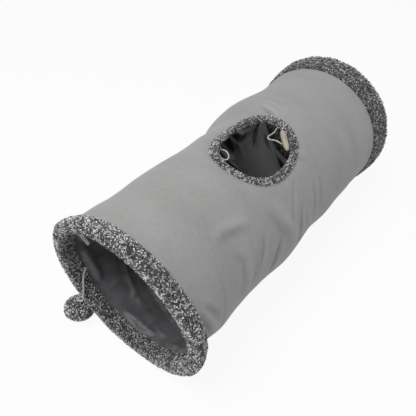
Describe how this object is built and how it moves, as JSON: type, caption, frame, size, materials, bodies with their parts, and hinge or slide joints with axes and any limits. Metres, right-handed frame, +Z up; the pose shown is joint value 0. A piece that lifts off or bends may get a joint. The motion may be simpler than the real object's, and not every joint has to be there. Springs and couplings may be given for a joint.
{
  "type": "cat tunnel",
  "caption": "Collapsible fabric play tunnel for cats, held open by a coiled spring wire, with fleece cuffs, a peephole with a toggle and a hanging fleece ball.",
  "frame": {"origin": "middle of the small flat under the near cuff, straight below the near end ring of the spring wire, on the floor", "axes": "+X along the tunnel from the near end to the far end, +Y to the side that the ball hangs on, +Z up"},
  "size_m": [0.6395, 0.294, 0.2794],
  "materials": {
    "grey_suede": "matte napped suede cloth",
    "grey_lining": "slightly shiny woven lining",
    "spring_steel": "plain drawn wire",
    "casing_tape": "matte woven tape",
    "zinc_plate": "crimped sheet sleeve",
    "curly_fleece": "black and white curly boucle pile",
    "peephole_fleece": "black and white curly boucle pile",
    "pale_wood": "plain sanded wood",
    "cream_cord": "twisted cord",
    "beige_cord": "round woven cord",
    "ball_fleece": "black and white curly boucle pile",
    "polyester_fill": "loose fibre filling",
    "cotton_tape": "flat woven tape"
  },
  "bodies": {
    "near_end": {"outer_shell": "grey_suede", "lining": "grey_lining", "spring_wire": "spring_steel", "wire_casing": "casing_tape", "near_ferrule": "zinc_plate", "near_cuff": "curly_fleece", "peephole_trim": "peephole_fleece"},
    "far_end": {"far_cuff": "curly_fleece", "far_ferrule": "zinc_plate"},
    "hole_lip": {"toggle_cord": "cream_cord"},
    "toggle": {"toggle": "pale_wood"},
    "loop": {"peephole_loop": "cream_cord"},
    "ball": {"ball_cover": "ball_fleece", "ball_filling": "polyester_fill", "ball_cord": "beige_cord"},
    "tie": {"near_tie": "cotton_tape"}
  },
  "joints": [
    {"name": "collapse", "type": "slide", "parent": "near_end", "child": "far_end", "axis": [1, 0, 0], "range_m": [-0.485, 0], "stiffness_N_per_m": 20, "springref_m": 0.05, "deforming": ["outer_shell", "lining", "spring_wire", "wire_casing", "peephole_trim"]},
    {"name": "toggle_follow", "type": "slide", "parent": "near_end", "child": "hole_lip", "axis": [1, 0, 0], "range_m": [-0.2872, 0]},
    {"name": "loop_follow", "type": "slide", "parent": "near_end", "child": "loop", "axis": [1, 0, 0], "range_m": [-0.2038, 0]},
    {"name": "toggle_swing", "type": "hinge", "parent": "hole_lip", "child": "toggle", "pos_m": [0.32851, -0.05182, 0.26141], "axis": [0.7716, -0.5854, -0.2487], "range_deg": [-60, 0], "deforming": ["toggle_cord"]},
    {"name": "ball_swing", "type": "hinge", "parent": "near_end", "child": "ball", "pos_m": [-0.0104, 0.099, 0.0595], "axis": [0, 1, 0], "range_deg": [0, 100], "deforming": ["ball_cord"]},
    {"name": "tie_swing", "type": "hinge", "parent": "near_end", "child": "tie", "pos_m": [0.0243, 0.1142, 0.189], "axis": [1, 0, 0], "range_deg": [-60, 0]}
  ],
  "couplings": [
    {"joint": "toggle_follow", "follows": "collapse", "ratio": 0.592},
    {"joint": "loop_follow", "follows": "collapse", "ratio": 0.42}
  ]
}
